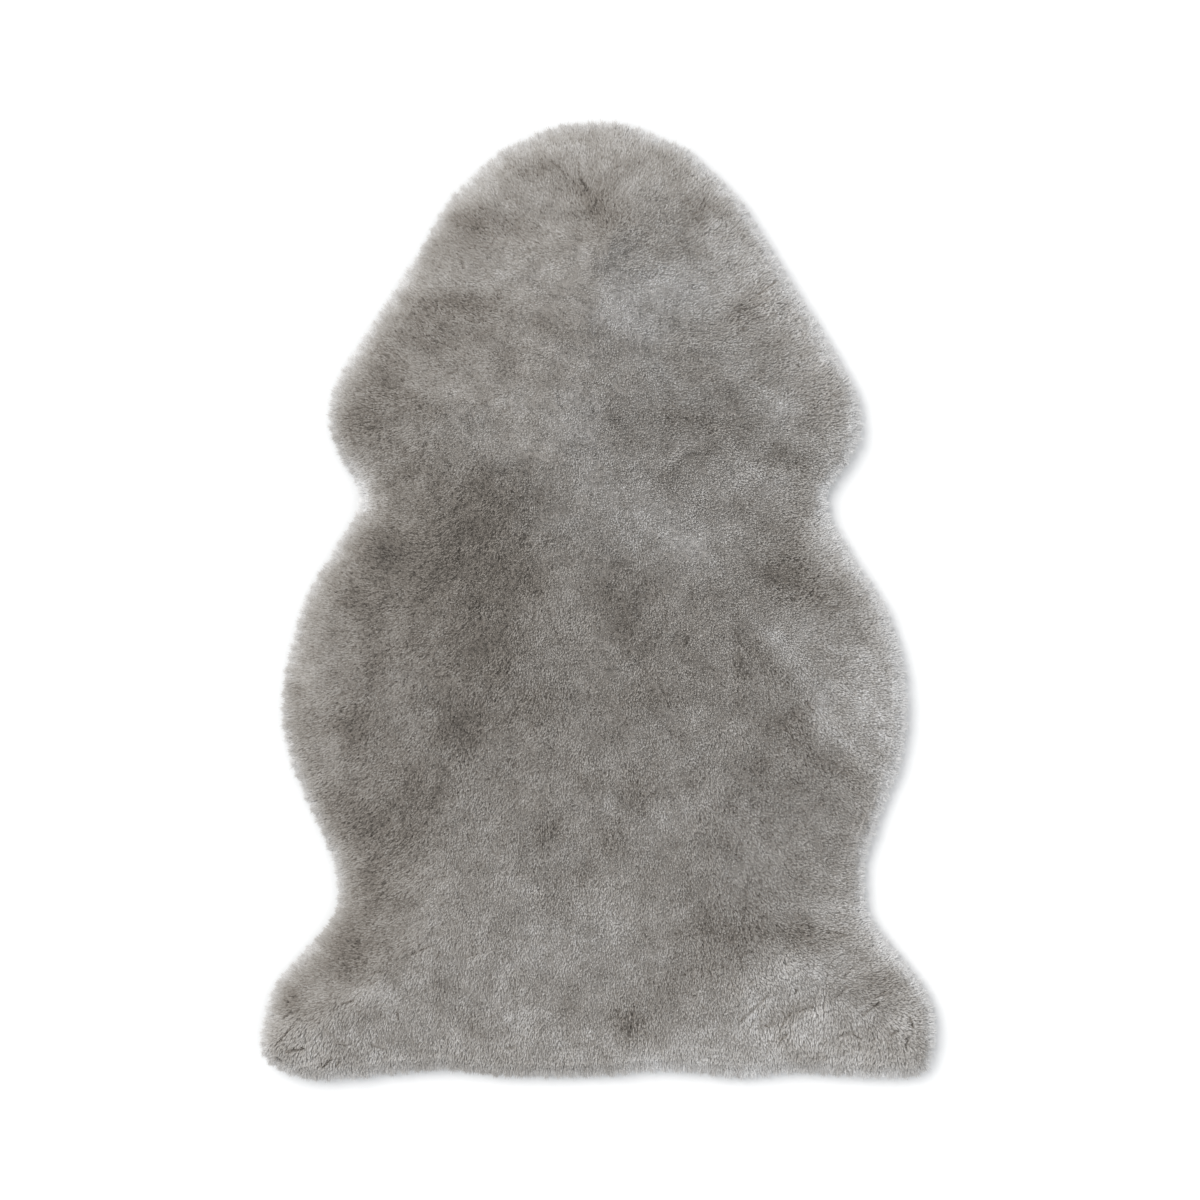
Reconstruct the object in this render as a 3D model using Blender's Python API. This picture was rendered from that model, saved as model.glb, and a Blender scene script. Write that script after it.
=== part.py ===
"""A shorn sheepskin rug: one tanned pelt that lies flat, wool side up.

Metres, +Z up. The origin is on the floor under the middle of the pelt. +Y points to the neck
end and +X to the right of someone who looks down at the rug from the hind end.

The pelt is one piece, so it is one solid: the flat flesh side underneath, a wall where the
wool leans out past the cut edge of the hide and ends in short locks, and a lumpy wool top.
"""

import math
from typing import NamedTuple

import bmesh
import bpy
import numpy as np
from mathutils import Vector, geometry, noise

MM = 0.001

# Driving dimensions. The tables below are in millimetres.
CROWN_HEIGHT = 26.0 * MM  # floor to the wool's top, away from the edge
LOCK_COUNT = 232  # locks round the edge, each about 12 mm wide
LOCK_WIDTH_SPREAD = 0.3  # share by which one lock is wider than the next
LOCK_TIP = 1.8 * MM  # how far a lock's tip stands out past the outline
LOCK_VALLEY = 2.0 * MM  # how far the wool draws in between two locks
LOCK_SWAY = 1.5 * MM  # how far a tip may bend along the edge, or up and down
TUFT_PITCH = 18.0 * MM  # distance between the points of the lumpy top
TUFT_UNEVEN = 0.9 * MM  # how far those points rise and fall at random
SOLE_PITCH = 40.0 * MM  # distance between the points of the underside
WAVE_LENGTH = 70.0 * MM  # of the gentle unevenness over the whole pelt
WAVE_HEIGHT = 1.6 * MM
SPAN_STEPS = 12  # points that the outline's curve gets between two table rows
CORNER_SPREAD = 40.0 * MM  # the inward direction is averaged this far to both sides
NET_JITTER = 0.2  # how far a point of the top or underside strays, in pitches
NET_GAP = 0.6  # how far such a point keeps from the ring round it, in pitches
FILL_INSIDE = 1  # keeps the triangles that lie inside the ring
FILL_MERGE = 0.0001 * MM
SEED = 7

WOOL_COLOUR = (0.30, 0.285, 0.265, 1.0)
WOOL_ROUGHNESS = 0.95


class Width(NamedTuple):
    """The pelt's two sides at one place along its length."""

    place: str
    along: float
    left: float
    right: float


class Rim(NamedTuple):
    """A point of the outline on its neck end or its hind end."""

    place: str
    across: float
    along: float


class Ring(NamedTuple):
    """One turn round the wool's edge: how far in, how high and how much the locks shape it."""

    name: str
    inset: float
    height: float
    lock_share: float


class Lump(NamedTuple):
    """A swell of the wool, or with a negative height a hollow or a crease."""

    name: str
    across: float
    along: float
    length: float
    width: float
    turn: float  # degrees, from +X to the lump's length
    height: float


class Lift(NamedTuple):
    """A place where the dried edge of the hide curls up off the floor."""

    name: str
    across: float
    along: float
    radius: float
    height: float


WIDTHS = (
    Width("poll", 422, -91, 85),
    Width("temple", 377, -139, 132),
    Width("neck", 317, -174, 170),
    Width("foreleg, upper", 212, -242, 234),
    Width("foreleg", 174, -252, 246),
    Width("foreleg, lower", 143, -245, 242),
    Width("armpit", 96, -223, 214),
    Width("ribs, upper", 47, -248, 235),
    Width("ribs", 1, -275, 265),
    Width("belly, upper", -44, -288, 283),
    Width("belly", -96, -296, 289),
    Width("belly, lower", -149, -289, 284),
    Width("flank", -232, -253, 254),
    Width("groin", -266, -245, 250),
    Width("thigh", -300, -251, 256),
    Width("shank", -360, -302, 303),
    Width("hock", -390, -312, 315),
    Width("hind foot", -423, -315, 314),
)
NECK_END = (
    Rim("left", -67, 433),
    Rim("left of middle", -37, 446),
    Rim("middle", 0, 449),
    Rim("right of middle", 31, 446),
    Rim("right", 62, 433),
)
HIND_END = (
    Rim("right foot", 306, -443),
    Rim("right shank", 271, -448),
    Rim("right dip", 181, -443),
    Rim("right of tail", 136, -448),
    Rim("tail dip", 68, -441),
    Rim("tail", 0, -446),
    Rim("left of tail", -90, -446),
    Rim("left dip", -146, -440),
    Rim("left shank", -203, -445),
    Rim("left foot", -253, -450),
    Rim("left toe", -291, -443),
)
RINGS = (
    Ring("cut edge of the hide, on the floor", 15.0, 0.0, 0.0),
    Ring("underside of the locks", 5.0, 2.5, 0.0),
    Ring("tips of the locks", 0.0, 9.0, 1.0),
    Ring("brow of the wool", 4.0, 17.5, 0.45),
    Ring("shoulder of the wool", 12.0, 23.0, 0.0),
    Ring("edge of the top", 24.0, 25.6, 0.0),
)
LUMPS = (
    Lump("dent in the crown", -13, 392, 16, 9, -60, -3.0),
    Lump("left temple hollow", -112, 350, 24, 14, -15, -2.0),
    Lump("right temple hollow", 98, 362, 18, 14, -60, -1.5),
    Lump("neck crease, left", -100, 285, 62, 11, -8, -2.6),
    Lump("neck crease, middle", -15, 248, 50, 11, -22, -2.2),
    Lump("neck crease, right", 118, 266, 38, 12, 34, -2.6),
    Lump("neck swell", 15, 300, 90, 30, 0, 1.8),
    Lump("right neck swell", 160, 300, 26, 18, -60, 1.8),
    Lump("left foreleg hollow", -205, 170, 45, 16, 5, -2.2),
    Lump("withers crease", 70, 172, 70, 12, 2, -2.4),
    Lump("withers swell", -70, 190, 60, 26, 10, 1.8),
    Lump("right foreleg crease", 145, 138, 70, 11, -8, -2.0),
    Lump("right armpit swell", 120, 100, 70, 28, 0, 1.8),
    Lump("left ribs hollow", -115, 60, 95, 46, 68, -2.6),
    Lump("right ribs hollow", 178, 22, 36, 24, -30, -2.6),
    Lump("back hollow", 62, -5, 52, 34, -35, -2.0),
    Lump("right belly swell", 245, -75, 78, 30, -68, 2.2),
    Lump("right belly crease", 182, -88, 80, 12, -58, -2.2),
    Lump("left belly swell", -262, -70, 80, 20, 84, 1.6),
    Lump("left flank hollow", -205, -205, 52, 22, 6, -2.4),
    Lump("loin swell", -60, -155, 70, 30, 20, 1.4),
    Lump("loin hollow", -42, -225, 22, 18, 0, -1.8),
    Lump("right flank hollow", 235, -160, 44, 14, -28, -2.0),
    Lump("left thigh hollow", -228, -318, 26, 20, -50, -2.4),
    Lump("rump swell", -10, -325, 70, 40, 12, 1.6),
    Lump("rump hollow", 118, -322, 46, 20, 34, -2.4),
    Lump("right thigh swell", 175, -352, 62, 13, 32, 2.6),
    Lump("right thigh crease", 178, -386, 44, 9, 26, -2.8),
    Lump("hind swell, right", 150, -418, 80, 16, 4, 2.0),
    Lump("hind hollow", 38, -395, 20, 16, -70, -2.2),
    Lump("left foot swell", -255, -400, 42, 22, 0, 1.8),
    Lump("right foot hollow", 265, -395, 26, 16, 40, -2.0),
)
LIFTS = (
    Lift("left hind foot", -318, -440, 95, 11.0),
    Lift("right hind foot", 320, -405, 75, 5.0),
    Lift("right foreleg", 262, 165, 80, 5.0),
    Lift("right belly", 300, -90, 110, 5.0),
)


def closed_curve(knots, steps):
    """Points of the smooth closed curve through the knots (Catmull-Rom), steps to a span."""
    share = np.arange(steps)[:, None] / steps
    before, start, end, after = (np.roll(knots, shift, axis=0) for shift in (1, 0, -1, -2))
    spans = []
    for p, q, r, s in zip(before, start, end, after, strict=True):
        spans.append(
            q
            + 0.5 * (r - p) * share
            + (p - 2.5 * q + 2 * r - 0.5 * s) * share**2
            + (1.5 * (q - r) + 0.5 * (s - p)) * share**3
        )
    return np.concatenate(spans)


def outline(at):
    """Points of the pelt's outline, anticlockwise from above, at these shares of the way round."""
    right = [(row.right, row.along) for row in reversed(WIDTHS)]
    neck = [(row.across, row.along) for row in reversed(NECK_END)]
    left = [(row.left, row.along) for row in WIDTHS]
    hind = [(row.across, row.along) for row in reversed(HIND_END)]
    curve = closed_curve(np.array(right + neck + left + hind) * MM, SPAN_STEPS)
    closed = np.vstack([curve, curve[:1]])
    walked = np.concatenate([[0], np.cumsum(np.linalg.norm(np.diff(closed, axis=0), axis=1))])
    return np.stack([np.interp(at * walked[-1], walked, closed[:, k]) for k in (0, 1)], axis=1)


def inward(edge):
    """A unit vector into the pelt at each point of the edge, steady round tight corners."""
    ahead = np.roll(edge, -1, axis=0)
    reach = round(CORNER_SPREAD / np.linalg.norm(ahead - edge, axis=1).mean())
    along = ahead - np.roll(edge, 1, axis=0)
    along = sum(np.roll(along, shift, axis=0) for shift in range(-reach, reach + 1))
    across = np.stack([-along[:, 1], along[:, 0]], axis=1)
    return across / np.linalg.norm(across, axis=1)[:, None]


def lift_at(x, y):
    """How high the hide is off the floor."""
    height = 0.0
    for row in LIFTS:
        away = math.hypot(x / MM - row.across, y / MM - row.along)
        height += row.height * MM * max(0.0, 1 - away / row.radius) ** 2
    return height


def lump_at(x, y):
    """How far the wool's top rises or falls from its usual height."""
    height = WAVE_HEIGHT * noise.noise(Vector((x, y, 0)) / WAVE_LENGTH)
    for row in LUMPS:
        turn = math.radians(row.turn)
        dx, dy = x / MM - row.across, y / MM - row.along
        u = (dx * math.cos(turn) + dy * math.sin(turn)) / row.length
        v = (dy * math.cos(turn) - dx * math.sin(turn)) / row.width
        height += row.height * MM * math.exp(-(u * u + v * v))
    return height


def lock_offsets(chance):
    """How far each point of the locks is moved out, up and along the edge.

    Even points are tips, which stand out and sway. Odd points are the valleys between them.
    """
    out, rise, slide = np.zeros((3, 2 * LOCK_COUNT))
    out[0::2] = LOCK_TIP * chance.uniform(0.5, 1.5, LOCK_COUNT)
    out[1::2] = -LOCK_VALLEY * chance.uniform(0.5, 1.2, LOCK_COUNT)
    rise[0::2] = LOCK_SWAY * chance.uniform(-1, 1, LOCK_COUNT)
    slide[0::2] = LOCK_SWAY * chance.uniform(-1, 1, LOCK_COUNT)
    return out, rise, slide


def ring_points(edge, into, row, offsets):
    """One ring round the edge, as 3-D points."""
    out, rise, slide = (row.lock_share * offset for offset in offsets)
    along = np.stack([into[:, 1], -into[:, 0]], axis=1)
    flat = edge + into * (row.inset * MM - out)[:, None] + along * slide[:, None]
    share = row.height * MM / CROWN_HEIGHT
    return [
        (x, y, lift_at(x, y) + row.height * MM + share**2 * lump_at(x, y) + dz)
        for (x, y), dz in zip(flat, rise, strict=True)
    ]


def scattered(ring, pitch, chance):
    """Points inside the ring on a jittered triangular net, none near the ring itself."""
    ring = np.array(ring)[:, :2]
    low, high = ring.min(axis=0), ring.max(axis=0)
    points = []
    for row, y in enumerate(np.arange(low[1], high[1], pitch * math.sin(math.pi / 3))):
        for x in np.arange(low[0] + pitch / 2 * (row % 2), high[0], pitch):
            spot = np.array([x, y]) + NET_JITTER * pitch * chance.uniform(-1, 1, 2)
            away = np.linalg.norm(ring - spot, axis=1).min()
            if away > NET_GAP * pitch and is_inside(spot, ring):
                points.append(tuple(spot))
    return points


def is_inside(spot, ring):
    """Whether the spot is inside the closed ring, by counting the sides that a ray crosses."""
    ahead = np.roll(ring, -1, axis=0)
    crossed = (ring[:, 1] > spot[1]) != (ahead[:, 1] > spot[1])
    start, run = ring[crossed], (ahead - ring)[crossed]
    at = start[:, 0] + (spot[1] - start[:, 1]) * run[:, 0] / run[:, 1]
    return bool((at > spot[0]).sum() % 2)


def fill(bm, ring, inner):
    """Fills a ring of vertices with triangles through the inner points, given in 3-D."""
    flat = [Vector(v.co[:2]) for v in ring] + [Vector(p[:2]) for p in inner]
    within = [list(range(len(ring)))]
    filled = geometry.delaunay_2d_cdt(flat, [], within, FILL_INSIDE, FILL_MERGE)
    faces, origins = filled[2], filled[3]
    verts = ring + [bm.verts.new(p) for p in inner]
    for face in faces:
        bm.faces.new([verts[origins[corner][0]] for corner in face])


def wall(bm, chance):
    """The wall round the pelt's edge. Returns its lowest and its highest ring of vertices."""
    points = 2 * LOCK_COUNT
    spacing = 1 + LOCK_WIDTH_SPREAD * chance.uniform(-1, 1, points)
    edge = outline(np.cumsum(spacing) / spacing.sum())
    into = inward(edge)
    offsets = lock_offsets(chance)
    rings = [[bm.verts.new(p) for p in ring_points(edge, into, row, offsets)] for row in RINGS]
    for lower, upper in zip(rings[:-1], rings[1:], strict=True):
        for i in range(points):
            j = (i + 1) % points
            bm.faces.new((lower[i], lower[j], upper[j], upper[i]))
    return rings[0], rings[-1]


def sole_points(ring, chance):
    """Points of the flat flesh side, which leaves the floor only where its edge curls."""
    return [(x, y, lift_at(x, y)) for x, y in scattered(ring, SOLE_PITCH, chance)]


def top_points(ring, chance):
    """Points of the lumpy wool."""
    flat = scattered(ring, TUFT_PITCH, chance)
    rises = CROWN_HEIGHT + TUFT_UNEVEN * chance.uniform(-1, 1, len(flat))
    return [(x, y, lift_at(x, y) + lump_at(x, y) + rise) for (x, y), rise in zip(flat, rises, strict=True)]


def pelt_mesh():
    """The pelt: the wall round its edge, then the underside and the lumpy top filled in."""
    chance = np.random.default_rng(SEED)
    bm = bmesh.new()
    lowest, highest = wall(bm, chance)
    fill(bm, lowest, sole_points([v.co for v in lowest], chance))
    fill(bm, highest, top_points([v.co for v in highest], chance))
    bmesh.ops.recalc_face_normals(bm, faces=bm.faces)
    centre(bm)
    mesh = bpy.data.meshes.new("sheepskin")
    bm.to_mesh(mesh)
    bm.free()
    mesh.shade_smooth()
    return mesh


def centre(bm):
    """Moves the mesh so that the middle of its outline is over the origin."""
    x = [v.co.x for v in bm.verts]
    y = [v.co.y for v in bm.verts]
    middle = Vector(((min(x) + max(x)) / 2, (min(y) + max(y)) / 2, 0))
    bmesh.ops.translate(bm, verts=bm.verts, vec=-middle)


def wool_material():
    material = bpy.data.materials.new("wool")
    material.use_nodes = True
    shader = material.node_tree.nodes["Principled BSDF"]
    shader.inputs["Base Color"].default_value = WOOL_COLOUR
    shader.inputs["Roughness"].default_value = WOOL_ROUGHNESS
    shader.inputs["Metallic"].default_value = 0.0
    return material


def main():
    for obj in list(bpy.data.objects):
        bpy.data.objects.remove(obj)
    parts = bpy.data.collections.new("sheepskin rug")
    bpy.context.scene.collection.children.link(parts)
    pelt = bpy.data.objects.new("sheepskin", pelt_mesh())
    pelt.data.materials.append(wool_material())
    parts.objects.link(pelt)


main()
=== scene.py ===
"""The looks of a shorn grey sheepskin rug that lies on a pale floor, seen from above.

Metres, +Z up, +Y to the neck end. The solid in the frame gives the pelt's outer surface. Here it
becomes a thin suede hide, a dense undercoat, a fleece of fine locks that follow the nap, nearly
upright along the back and leaning out towards the rim, and a fringe of single fibres.
"""

import math
from typing import NamedTuple

import bpy
import numpy as np
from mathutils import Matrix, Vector, geometry
from mathutils.bvhtree import BVHTree
from mathutils.kdtree import KDTree


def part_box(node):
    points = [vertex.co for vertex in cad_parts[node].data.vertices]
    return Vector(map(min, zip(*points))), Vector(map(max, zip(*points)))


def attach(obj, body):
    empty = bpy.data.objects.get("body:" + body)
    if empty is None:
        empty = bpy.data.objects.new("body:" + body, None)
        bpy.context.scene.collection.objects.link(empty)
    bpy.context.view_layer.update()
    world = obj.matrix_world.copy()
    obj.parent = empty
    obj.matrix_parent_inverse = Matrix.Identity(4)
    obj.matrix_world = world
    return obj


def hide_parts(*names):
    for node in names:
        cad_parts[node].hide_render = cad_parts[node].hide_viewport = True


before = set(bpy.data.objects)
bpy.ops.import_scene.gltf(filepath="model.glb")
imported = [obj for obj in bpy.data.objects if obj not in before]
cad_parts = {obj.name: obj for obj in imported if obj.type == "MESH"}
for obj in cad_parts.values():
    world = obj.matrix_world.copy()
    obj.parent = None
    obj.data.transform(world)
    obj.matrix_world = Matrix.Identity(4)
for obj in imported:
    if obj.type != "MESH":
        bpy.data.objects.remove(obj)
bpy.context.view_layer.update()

MM = 0.001
NODE = "sheepskin"
SEED = 11
HALF_SPAN = 0.55  # the noise fields reach this far from the origin

GRID_STEP = 2.0 * MM  # the outer surface is read on a square grid
RIM_BLUR = 4  # rounds of smoothing for the way out at the rim
DRIFT_BLUR = 150  # rounds of smoothing for the nap's slow turn towards the rim
SKIN_VOXEL = 1.65 * MM  # a lock stands on each point of a net this fine
SOLE_FACING = -0.97  # no lock stands where the surface faces down more than this
WALL_LEAST_FACING = -0.6  # nor where it faces down this much and lies close to the hide
SOLE_CLEARANCE = 1.2 * MM
RING_TURNS = 720
RING_HUB = (0.0, -0.1)
RING_REACH = 0.62  # farther from the hub than any point of the rim
RING_STEP = 0.5 * MM

UNDERCOAT_INSET = 6.0 * MM
UNDERCOAT_PITCH = 8.5 * MM
UNDERCOAT_BACK = 7.5 * MM  # how far it lies under the surface along the back
UNDERCOAT_RIM = 7.0 * MM
UNDERCOAT_OVERLAP = 0.8  # of the hide's thickness, where its sole starts
UNDERCOAT_LUMPS = 0.6 * MM
UNDERCOAT_LUMPS_CELL = 8.0 * MM
UNDERCOAT_SHADE = 0.12  # its height on the map, near a lock's root, so it takes the root's painted shade
UNDERCOAT_SHADE_SPREAD = 0.1
UNDERCOAT_SHADE_CELL = 5.0 * MM
UNDERCOAT_FOOT = 3.0 * MM  # how much higher its edge starts than its middle
UNDERCOAT_FOOT_REACH = 4.0 * MM

HIDE_INSET = 13.0 * MM
HIDE_THICKNESS = 2.0 * MM
HIDE_PITCH = 16.0 * MM

# Seeds of single noise fields and of the scatter that fills a ring.
DASH_SEED = 21
STREAK_SEED = 22
LEAN_SEED = 31
UNDERCOAT_LUMPS_SEED = 41
UNDERCOAT_SHADE_SEED = 42
UNDERCOAT_FILL_SEED = 51
HIDE_FILL_SEED = 52

# Locks of the fleece.
LOCK_LENGTH = 9.0 * MM  # the longest, and the length of all that fan out at the rim
LOCK_LEAST = 6.5 * MM
LOCK_SHOWS = 3.8 * MM  # how much of a lock shows from above, as far as its least length lets it
LOCK_HALF_WIDTH = 0.71 * MM
LOCK_WAIST = 0.60  # where along its length a lock is widest
LOCK_KEEL = 0.45  # how thick it is, against its half width
LENGTH_RANGE = (0.85, 1.1)
WIDTH_RANGE = (0.8, 1.2)
LOWEST_CORNER = 0.1 * MM
LOWEST_TIP = 0.4 * MM
LOWEST_ROOT = 1.5 * MM  # over the sole
SURFACE_DROP = 0.5 * MM  # the locks end this far inside the solid's surface
WALL_SWELL = 1.5 * MM  # and this much farther out on an upright wall

# The way the locks lean, in degrees from upright.
LEAN_BACK = 15.0
LEAN_RIM = 32.0
LEAN_REACH = 25.0 * MM
LEAN_TILT = 0.6  # more, for each degree that the surface itself tilts
LEAN_NOISE = 7.0
LEAN_CELL = 12.0 * MM
LEAN_BRUSHED = 8.0
LEAN_PARTED = 12.0
LEAN_SPREAD = 3.0
LEAN_RANGE = (3.0, 105.0)
FAN_REACH = 8.0 * MM  # the rim's wool fans out from the hide's edge
FAN_LEAST = 4.0 * MM
FAN_HEIGHT = 6.0 * MM  # so does all wool that is lower than this
FAN_SWIRL = 0.6
FAN_SPREAD = 0.1
NAP_REACH = 70.0 * MM  # how far in from the rim the nap points outwards
NAP_HUB = (-0.012, 0.38)  # the nap runs away from here
NAP_HUB_SIZE = 100.0 * MM
NAP_RIM = 1.6
NAP_NOISE = ((70 * MM, 0.3, 11), (24 * MM, 0.2, 13))  # cell, amount, first of two seeds
NAP_SPREAD = 0.1
NAP_PARTED = 1.5  # how far the wool turns away from a parting

# Tufts, clumps, dashes and the grain of single locks.
TUFT_PITCH = 5.5 * MM
TUFT_PULL = 0.10  # how far the tips gather to the middle of their tuft
TUFT_PULL_BRUSHED = 0.1
TUFT_RISE = 0.25 * MM
TUFT_SWIRL = 0.07
CLUMP_PITCH = 14.0 * MM  # brushed wool turns this way and that in clumps
CLUMP_RISE = 0.65 * MM
CLUMP_SWIRL = 0.18
BRUSHED_SHOWS = 0.3  # how much more of a lock shows where the wool is brushed up
DASH_CELL = 1.5 * MM
DASH_TOP = 0.4
DASH_RISE = 0.18 * MM
# Painted shade: a dash is darker where it sinks, and a little paler where it rises.
DASH_PAINTED_SHADE = 0.04
STREAK_CELL = 9.0 * MM
STREAK_TONE = 0.03
DRAWN_STEP = 0.65  # cells between the samples along a dash or streak
DRAWN_GAIN = 2.2  # makes up for what averaging them takes away
GRAIN_LEAST = -3.0  # a few locks end far below the rest, and none far above
GRAIN_RISE = 0.60 * MM
# Painted shade: a lock that ends lower than the rest is darker.
GRAIN_PAINTED_SHADE = 0.14
GRAIN_PAINTED_SHADE_TOP = 0.1
LOCK_TONE = 0.03  # how much single locks differ
PIT_FROM = 0.75  # the deepest dashes become small pits, sunk and darkened with painted shade
PIT_DEPTH = 2.5 * MM
PIT_PAINTED_SHADE = 0.45
PARTED_PAINTED_SHADE = 0.18  # painted shade: darker by this for each millimetre of depth
CALM_RIM = 0.6  # how much evener the rim's locks are than the rest
CALM_TUFTS = 0.8  # how much evener the rim's tufts are
CALM_REACH = 7.0 * MM
CALM_PALE = 3.8  # how much evener pale wool is than dark wool
CALM_TONE = 0.62
CALM_RANGE = (0.4, 2.3)
CALM_LEFT = 0.4  # how much evener the wool is along the crown and the left side
CALM_LEFT_REACH = 38.0 * MM
CALM_CROWN = 0.9

# The shading normals, against the side that a lock shows.
FRONT_SPREAD = 0.25
SCATTER = 1.3  # turns the shading upwards, as light spreads inside wool
SCATTER_RIM = 1.6  # more of that at the rim
NORMAL_FRONT = 0.12
NORMAL_SIDE = 0.5
NORMAL_TIP = 0.3
ZONES = ("hind", "loin", "belly", "ribs", "neck")

FRINGE_SEED = SEED + 5
FRINGE_LENGTH = 9.0 * MM
FRINGE_HALF_WIDTH = 0.27 * MM
FRINGE_REACH = 5.2 * MM
FRINGE_REACH_SHAPE = (1.3, 2.4)  # most fibres stand out little
FRINGE_COUNT = 32000
FRINGE_SLOPE = 0.6  # fibres stand only where the surface faces up less than this
FRINGE_DEPTH = 6.0 * MM
FRINGE_CLIMB = 0.5
FRINGE_SPREAD = (0.13, 0.13, 0.08)
FRINGE_TONE = 0.04

# Colours. Tones run from 0 to 1, and a lock's map has its tone across and its length upwards.
MAP_HALF_WIDTH = 0.012
MAP_RANGE = (0.02, 0.98)
FIBRES_ACROSS = 55.0  # cycles of the fibres' streaks over the whole range of tones
FIBRES_ALONG = 7.0  # cycles from root to tip
TONE = 0.70
TONE_NOISE = ((50 * MM, 0.03, 1), (20 * MM, 0.05, 2), (8 * MM, 0.05, 3))  # cell, amount, seed
# Painted light: the wool is painted paler towards the rim, where light passes through thin wool
# and scatters.
RIM_PAINTED_LIGHT = 0.20
RIM_PAINTED_LIGHT_REACH = 19.0 * MM
RIM_LEFT_SHARE = 0.5  # the painted pale rim is narrower by this along the left side
EDGE_PAINTED_LIGHT = 0.15  # the outermost wool is painted paler still, most of all on the right: painted light
EDGE_SIDES = (0.45, 0.2, 0.33, 0.72)  # everywhere, at the neck end, on the right, on both sides
EDGE_PAINTED_LIGHT_REACH = 6.5 * MM
WOOL_TONES = (
    (0.0, (0.112, 0.100, 0.0875)),
    (0.25, (0.187, 0.168, 0.1485)),
    (0.5, (0.310, 0.282, 0.252)),
    (0.75, (0.497, 0.472, 0.445)),
    (0.92, (0.69, 0.673, 0.658)),
    # The palest stop is paler than real wool: painted light for the rim.
    (1.0, (0.90, 0.89, 0.885)),
)
# Painted shade: each lock is darker towards its root, deep in the pile where shade falls.
WOOL_ROOT_SHADE = ((0.0, (0.90, 0.89, 0.88)), (0.5, (1.0, 1.0, 1.0)))
WOOL_FIBRES = ((0.3, (0.78, 0.78, 0.77)), (0.5, (1.06, 1.06, 1.06)), (0.7, (1.12, 1.12, 1.12)))
HIDE_CLOUDS = ((0.3, (0.36, 0.305, 0.24)), (0.55, (0.45, 0.39, 0.315)), (0.75, (0.52, 0.46, 0.38)))
HIDE_NAP = ((0.3, (0.82, 0.82, 0.82)), (0.7, (1.08, 1.08, 1.08)))

# Camera: an image of 1200 pixels, and a length of 0.90 m that spans 957 of them.
IMAGE_SIDE = 1200
PIXEL = 0.90 / 957
PHOTO_MIDDLE = (598.2, 601.2)  # the pixel over the origin
LENS = 85.0
SENSOR = 36.0


class Patch(NamedTuple):
    """A soft spot of paler or, with a negative amount, darker wool, its own tone and painted light
    and shade. Millimetres and degrees.
    """

    place: str
    across: float
    along: float
    length: float
    width: float
    turn: float
    amount: float
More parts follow.
